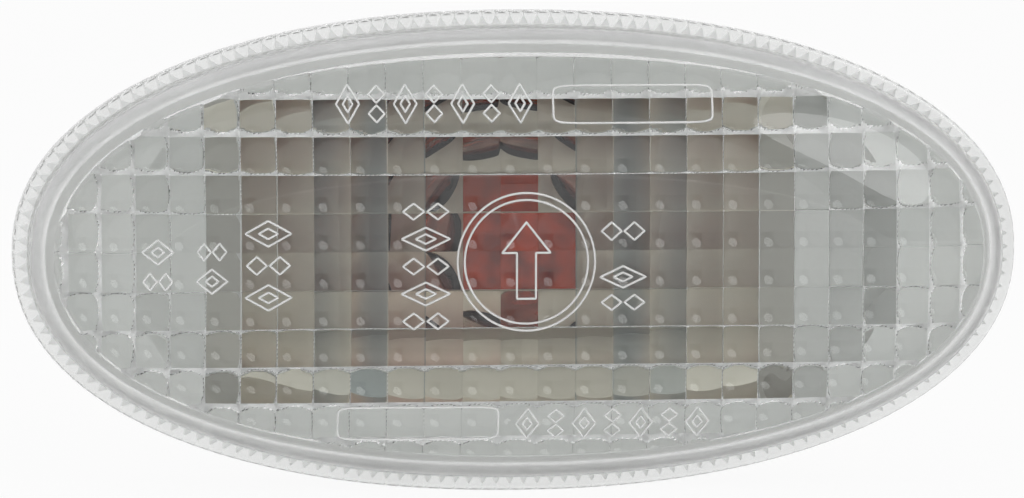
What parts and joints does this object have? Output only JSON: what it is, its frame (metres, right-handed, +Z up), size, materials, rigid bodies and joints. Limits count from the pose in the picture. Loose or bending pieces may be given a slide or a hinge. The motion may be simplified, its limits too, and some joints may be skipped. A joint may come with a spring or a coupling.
{
  "type": "side repeater lamp",
  "caption": "Oval clear-domed side repeater lamp with square pillow optics, a metallised trough, an amber wedge-base bulb and a quarter-turn holder.",
  "frame": {"origin": "centre of the gasket's rear face, which lies on the car's panel", "axes": "+X along the lamp's length, to the right when seen from the front; +Y into the panel, away from the lens; +Z up"},
  "size_m": [0.08, 0.0473, 0.0382],
  "materials": {
    "lens_clear": "clear polished acrylic",
    "housing_plastic": "pale grey moulded plastic",
    "reflector_metal": "vacuum metallised",
    "gasket_rubber": "foam rubber",
    "clip_steel": "spring steel",
    "bulb_amber": "amber coated glass",
    "filament_metal": "tungsten",
    "lead_metal": "plated wire",
    "holder_plastic": "black moulded nylon",
    "seal_rubber": "soft rubber",
    "contact_brass": "stamped strip"
  },
  "bodies": {
    "lamp_body": {"lens": "lens_clear", "housing": "housing_plastic", "reflector": "reflector_metal", "panel_gasket": "gasket_rubber", "retaining_clip": "clip_steel"},
    "bulb_carrier": {"bulb_holder": "holder_plastic", "holder_seal": "seal_rubber", "contact_upper": "contact_brass", "contact_lower": "contact_brass", "bulb_glass": "bulb_amber", "bulb_filament": "filament_metal", "bulb_lead_upper": "lead_metal", "bulb_lead_lower": "lead_metal"}
  },
  "joints": [
    {"name": "holder_twist", "type": "hinge", "parent": "lamp_body", "child": "bulb_carrier", "pos_m": [0, 0.0184, 0], "axis": [0, 1, 0], "range_deg": [0, 50]}
  ]
}
